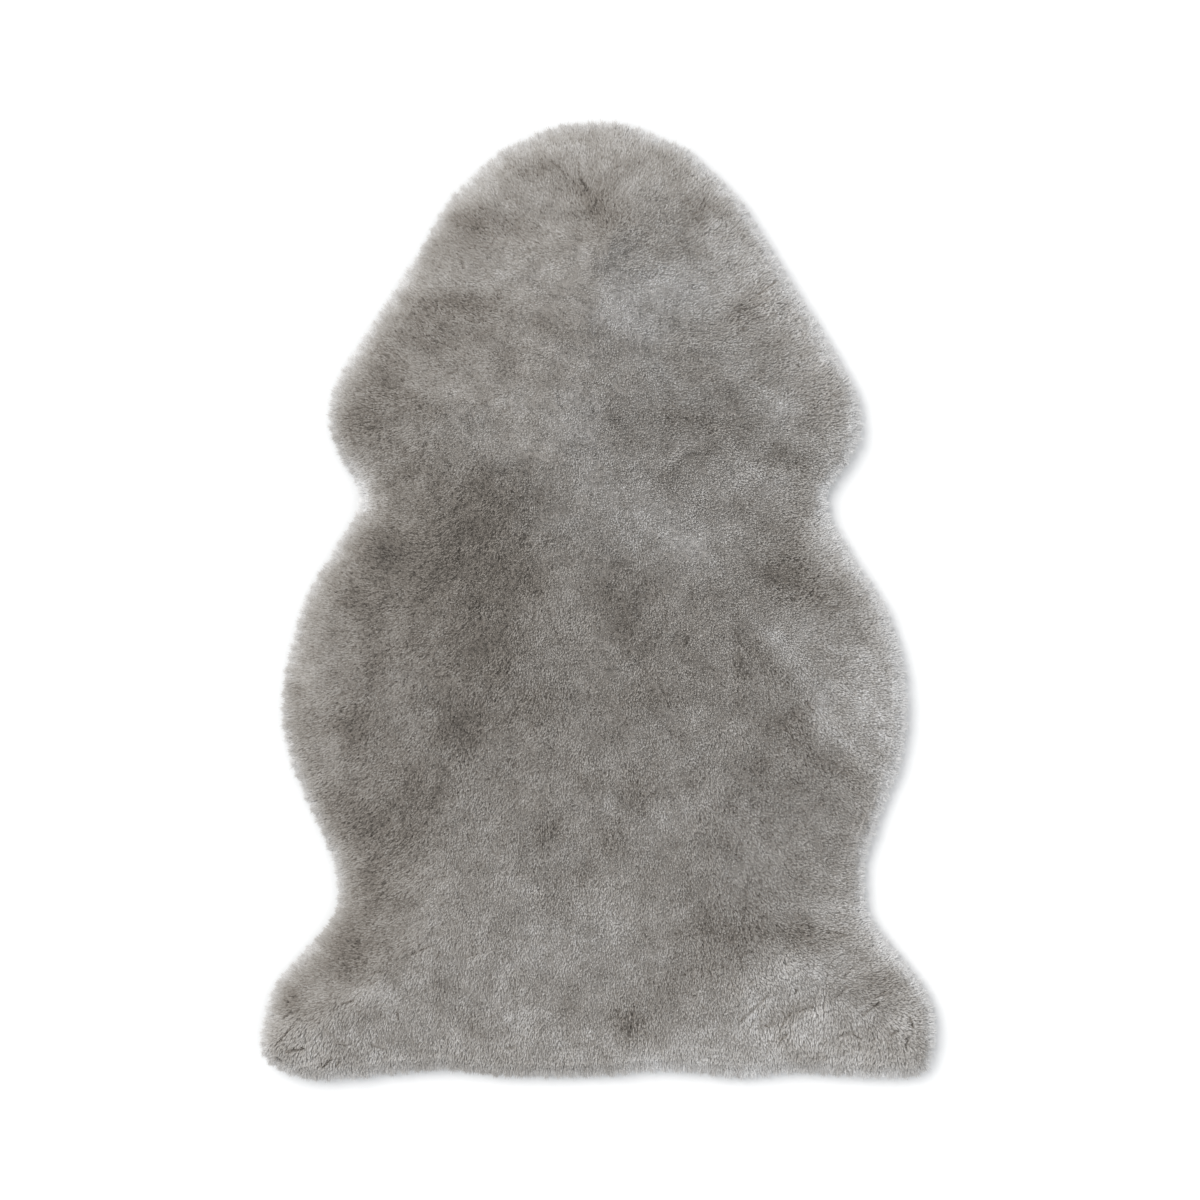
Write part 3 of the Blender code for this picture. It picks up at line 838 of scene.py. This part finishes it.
def fleece(pelt, points, normals, material):
    """Locks over the whole skin, in zones along the pelt's length."""
    chance = np.random.default_rng(SEED)
    count = len(points)
    points = points + chance.uniform(-0.5, 0.5, (count, 3)) * SKIN_VOXEL
    flat = points[:, :2]
    depth = np.maximum(pelt.at(pelt.depth, flat), 0)
    tone = tone_at(pelt, flat)
    whole = 1 - CALM_TUFTS * np.exp(-((depth / CALM_REACH) ** 2))
    uneven = uneven_at(pelt, flat, depth, tone)
    grain = uneven * np.maximum(1 - chance.exponential(size=count), GRAIN_LEAST)
    nap = nap_at(pelt, flat)
    dash = uneven * np.minimum(drawn_out(flat, nap, DASH_CELL, DASH_SEED), DASH_TOP)
    pit = np.maximum(-dash - PIT_FROM, 0)
    streak = drawn_out(flat, nap, STREAK_CELL, STREAK_SEED)
    brushed = brushed_at(flat)
    parted, share, off = partings_at(flat)
    tilt = np.degrees(np.arccos(np.clip(normals[:, 2], -1, 1)))
    lean = LEAN_BACK + (LEAN_RIM - LEAN_BACK) * np.exp(-depth / LEAN_REACH) + LEAN_TILT * tilt
    lean += (
        LEAN_NOISE * soft_noise(flat, LEAN_CELL, LEAN_SEED)
        + LEAN_BRUSHED * brushed
        + LEAN_PARTED * share
    )
    centres = tuft_centres(points, TUFT_PITCH, chance)
    tuft = nearest(centres, points)
    clump_centres = tuft_centres(points, CLUMP_PITCH, chance)
    clump = nearest(clump_centres, points)
    swirl = TUFT_SWIRL * chance.normal(size=(len(centres), 2))[tuft]
    turned = chance.normal(size=(len(clump_centres), 2))[clump]
    swirl += (CLUMP_SWIRL * brushed)[:, None] * turned
    nap = unit(nap + swirl + chance.normal(0, NAP_SPREAD, (count, 2)) + NAP_PARTED * off)
    lean = np.radians(np.clip(lean + chance.normal(0, LEAN_SPREAD, count), *LEAN_RANGE))
    axis = np.column_stack([nap * np.sin(lean)[:, None], np.cos(lean)])
    fan, fanned = fan_at(pelt, points)
    fan[:, :2] += FAN_SWIRL * swirl
    fan += chance.normal(0, FAN_SPREAD, (count, 3))
    axis = unit(axis * (1 - fanned) + fan * fanned)
    rise = TUFT_RISE * whole * chance.uniform(-1, 1, len(centres))[tuft]
    rise += CLUMP_RISE * brushed * chance.uniform(-1, 1, len(clump_centres))[clump]
    rise += DASH_RISE * dash - PIT_DEPTH * pit - parted
    rise += GRAIN_RISE * grain
    rise += WALL_SWELL * tilt / 90 - SURFACE_DROP
    pull = (whole * (TUFT_PULL + TUFT_PULL_BRUSHED * brushed))[:, None]
    tip = points + normals * rise[:, None] + pull * (centres[tuft] - points)
    shows = LOCK_SHOWS * (1 + BRUSHED_SHOWS * brushed)
    length = np.clip(shows / np.sin(lean), LOCK_LEAST, LOCK_LENGTH)
    length += (LOCK_LENGTH - length) * fanned[:, 0]
    root = tip - axis * (length * chance.uniform(*LENGTH_RANGE, count))[:, None]
    kept_apart(tip, root)
    root[:, 2] = np.maximum(root[:, 2], pelt.at(pelt.sole, root[:, :2]) + LOWEST_ROOT)
    tip[:, 2] = np.maximum(tip[:, 2], LOWEST_TIP)
    front = normals + FRONT_SPREAD * chance.normal(size=(count, 3))
    front[:, 2] += SCATTER + SCATTER_RIM * np.exp(-((depth / FAN_REACH) ** 2))
    front = unit(front)
    width = LOCK_HALF_WIDTH * chance.uniform(*WIDTH_RANGE, count)
    # Painted shade: locks that sink with a dash, a pit, a parting or their grain are darker; the
    # streaks and single-lock differences are the wool's own tone.
    tone += DASH_PAINTED_SHADE * dash + STREAK_TONE * streak - PIT_PAINTED_SHADE * pit - PARTED_PAINTED_SHADE * parted / MM
    tone += GRAIN_PAINTED_SHADE * np.minimum(grain, GRAIN_PAINTED_SHADE_TOP) + LOCK_TONE * chance.normal(size=count)
    wool = Wool(root, tip, front, width, np.clip(tone, *MAP_RANGE))
    order = np.argsort(flat[:, 1], kind="stable")
    pieces = []
    for zone, rows in zip(ZONES, np.array_split(order, len(ZONES))):
        part = Wool(*(column[rows] for column in wool))
        pieces.append(locks("fleece_" + zone, part, material))
    return pieces


def fringe(pelt, points, normals, material):
    """Single fibres that stand out of the wall, pale with the rim's painted light."""
    chance = np.random.default_rng(FRINGE_SEED)
    count = FRINGE_COUNT
    wall = (normals[:, 2] < FRINGE_SLOPE) & (pelt.at(pelt.depth, points[:, :2]) < FRINGE_DEPTH)
    rows = chance.choice(np.flatnonzero(wall), count)
    points, normals = points[rows], normals[rows]
    points = points + chance.uniform(-0.7, 0.7, (count, 3)) * SKIN_VOXEL
    flat = points[:, :2]
    fan = fan_at(pelt, points)[0]
    fan[:, 2] = np.minimum(fan[:, 2], FRINGE_CLIMB)
    axis = unit(fan + chance.normal(0, FRINGE_SPREAD, (count, 3)))
    depth = np.maximum(pelt.at(pelt.depth, flat), 0)
    reach = depth * chance.uniform(0.5, 1.0, count)
    reach += FRINGE_REACH * chance.beta(*FRINGE_REACH_SHAPE, count)
    tip = points + axis * reach[:, None]
    tip[:, 2] = np.maximum(tip[:, 2], LOWEST_TIP)
    root = tip - axis * (FRINGE_LENGTH + 0.5 * reach)[:, None]
    root[:, 2] = np.maximum(root[:, 2], LOWEST_TIP)
    front = unit(normals + (0, 0, SCATTER + SCATTER_RIM))
    tone = np.clip(tone_at(pelt, flat) + chance.normal(0, FRINGE_TONE, count), *MAP_RANGE)
    width = FRINGE_HALF_WIDTH * chance.uniform(*WIDTH_RANGE, count)
    return locks("fringe", Wool(root, tip, front, width, tone), material)


def ring_at(pelt, inset):
    """A closed ring of points this far in from the rim."""
    turn = 2 * math.pi * np.arange(RING_TURNS) / RING_TURNS
    way = np.column_stack([np.cos(turn), np.sin(turn)])
    hub = np.array(RING_HUB)
    reach = np.arange(0, RING_REACH, RING_STEP)
    spots = hub + way[:, None] * reach[None, :, None]
    depth = pelt.at(pelt.depth, spots.reshape(-1, 2)).reshape(len(turn), len(reach))
    last = len(reach) - 1 - np.argmax(depth[:, ::-1] >= inset, axis=1)
    return hub + way * reach[last][:, None]


def filled(pelt, ring, inset, pitch, seed):
    """Fills a ring with triangles: its points and an even scatter inside, the faces, the edge."""
    low, high = ring.min(axis=0), ring.max(axis=0)
    chance = np.random.default_rng((SEED, seed))
    x, y = np.meshgrid(np.arange(low[0], high[0], pitch), np.arange(low[1], high[1], pitch))
    inner = np.column_stack([x.ravel(), y.ravel()])
    inner += chance.uniform(-0.2, 0.2, inner.shape) * pitch
    inner = inner[pelt.at(pelt.depth, inner) > inset + 0.4 * pitch]
    spots = [Vector(p) for p in np.concatenate([ring, inner])]
    made = geometry.delaunay_2d_cdt(spots, [], [list(range(len(ring)))], 1, 1e-6)
    cover = np.array([list(face) for face in made[2]])
    edges = np.concatenate([cover[:, [0, 1]], cover[:, [1, 2]], cover[:, [2, 0]]])
    known = {tuple(edge) for edge in edges}
    rim = np.array([edge for edge in known if (edge[1], edge[0]) not in known])
    return np.array([tuple(v) for v in made[0]]), cover, rim[np.lexsort(rim.T)]


def slab(name, flat, cover, rim, bottom, top, uv, material):
    """A closed slab between two heights over the same triangles."""
    count = len(flat)
    points = np.concatenate([np.column_stack([flat, bottom]), np.column_stack([flat, top])])
    sides = [
        np.column_stack([rim[:, 0], rim[:, 1], rim[:, 1] + count]),
        np.column_stack([rim[:, 0], rim[:, 1] + count, rim[:, 0] + count]),
    ]
    faces = np.concatenate([cover + count, cover[:, ::-1], *sides])
    return mesh_object(name, points, faces, np.concatenate([uv, uv]), None, material)


def undercoat(pelt, material):
    """The dense wool under the locks' tips."""
    ring = ring_at(pelt, UNDERCOAT_INSET)
    flat, cover, rim = filled(pelt, ring, UNDERCOAT_INSET, UNDERCOAT_PITCH, UNDERCOAT_FILL_SEED)
    inward = 1 - np.exp(-(pelt.at(pelt.depth, flat) - UNDERCOAT_INSET) / LEAN_REACH)
    drawn = UNDERCOAT_RIM + (UNDERCOAT_BACK - UNDERCOAT_RIM) * inward
    drawn += UNDERCOAT_LUMPS * soft_noise(flat, UNDERCOAT_LUMPS_CELL, UNDERCOAT_LUMPS_SEED)
    tone = np.clip(tone_at(pelt, flat), *MAP_RANGE)
    shade = soft_noise(flat, UNDERCOAT_SHADE_CELL, UNDERCOAT_SHADE_SEED)
    # The undercoat reads the map near a lock's root: painted shade, as deep in the pile.
    uv = np.column_stack([tone, UNDERCOAT_SHADE + UNDERCOAT_SHADE_SPREAD * shade])
    foot = UNDERCOAT_FOOT * np.exp(-inward * LEAN_REACH / UNDERCOAT_FOOT_REACH)
    sole = pelt.at(pelt.sole, flat) + UNDERCOAT_OVERLAP * HIDE_THICKNESS + foot
    return slab("undercoat", flat, cover, rim, sole, pelt.at(pelt.top, flat) - drawn, uv, material)


def hide_sheet(pelt, material):
    """The hide: a thin sheet, flat but where its edge curls up. Returns it, its size and area."""
    ring = ring_at(pelt, HIDE_INSET)
    flat, cover, rim = filled(pelt, ring, HIDE_INSET, HIDE_PITCH, HIDE_FILL_SEED)
    sole = pelt.at(pelt.sole, flat)
    made = slab("hide", flat, cover, rim, sole, sole + HIDE_THICKNESS, flat + 0.5, material)
    x, y = ring.T
    area = 0.5 * abs((x * np.roll(y, -1) - np.roll(x, -1) * y).sum())
    return made, tuple(np.ptp(ring, axis=0)), float(area)


def floor_and_light():
    """A white floor, a wide soft lamp from the upper left, and an even pale sky."""
    bpy.ops.mesh.primitive_plane_add(size=60)
    floor = bpy.context.object
    floor.name = "floor"
    paper = bpy.data.materials.new("floor")
    paper.use_nodes = True
    shader = paper.node_tree.nodes["Principled BSDF"]
    shader.inputs["Base Color"].default_value = (0.95, 0.95, 0.95, 1)
    shader.inputs["Roughness"].default_value = 0.9
    shader.inputs["Specular IOR Level"].default_value = 0.1
    floor.data.materials.append(paper)
    sun = bpy.data.lights.new("key", "SUN")
    sun.energy = 1.5
    sun.angle = math.radians(40)
    sun.color = (1.0, 0.985, 0.96)
    lamp = bpy.data.objects.new("key", sun)
    lamp.rotation_euler = Vector((-0.55, 0.5, 1.0)).to_track_quat("Z", "Y").to_euler()
    bpy.context.scene.collection.objects.link(lamp)
    world = bpy.data.worlds.new("studio")
    world.use_nodes = True
    back = world.node_tree.nodes["Background"]
    back.inputs["Color"].default_value = (0.96, 0.98, 1.0, 1)
    back.inputs["Strength"].default_value = 0.90
    bpy.context.scene.world = world
    bpy.context.scene.view_settings.view_transform = "Standard"


def camera():
    """Looks straight down, so that the image covers what the photograph covers."""
    side = IMAGE_SIDE * PIXEL
    data = bpy.data.cameras.new("camera")
    data.lens = LENS
    data.sensor_width = SENSOR
    made = bpy.data.objects.new("camera", data)
    middle = IMAGE_SIDE / 2
    made.location = (
        (middle - PHOTO_MIDDLE[0]) * PIXEL,
        (PHOTO_MIDDLE[1] - middle) * PIXEL,
        side * LENS / SENSOR + 10 * MM,
    )
    bpy.context.scene.collection.objects.link(made)
    bpy.context.scene.camera = made


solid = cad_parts[NODE]
camera()
floor_and_light()
pelt = Pelt(solid)
wool = wool_material()
points, normals = skin_points(pelt, solid)
pieces = [undercoat(pelt, wool)]
pieces += fleece(pelt, points, normals, wool)
pieces.append(fringe(pelt, points, normals, wool))
hide, hide_size, hide_area = hide_sheet(pelt, hide_material())
for piece in [*pieces, hide]:
    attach(piece, "root")
    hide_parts(NODE)
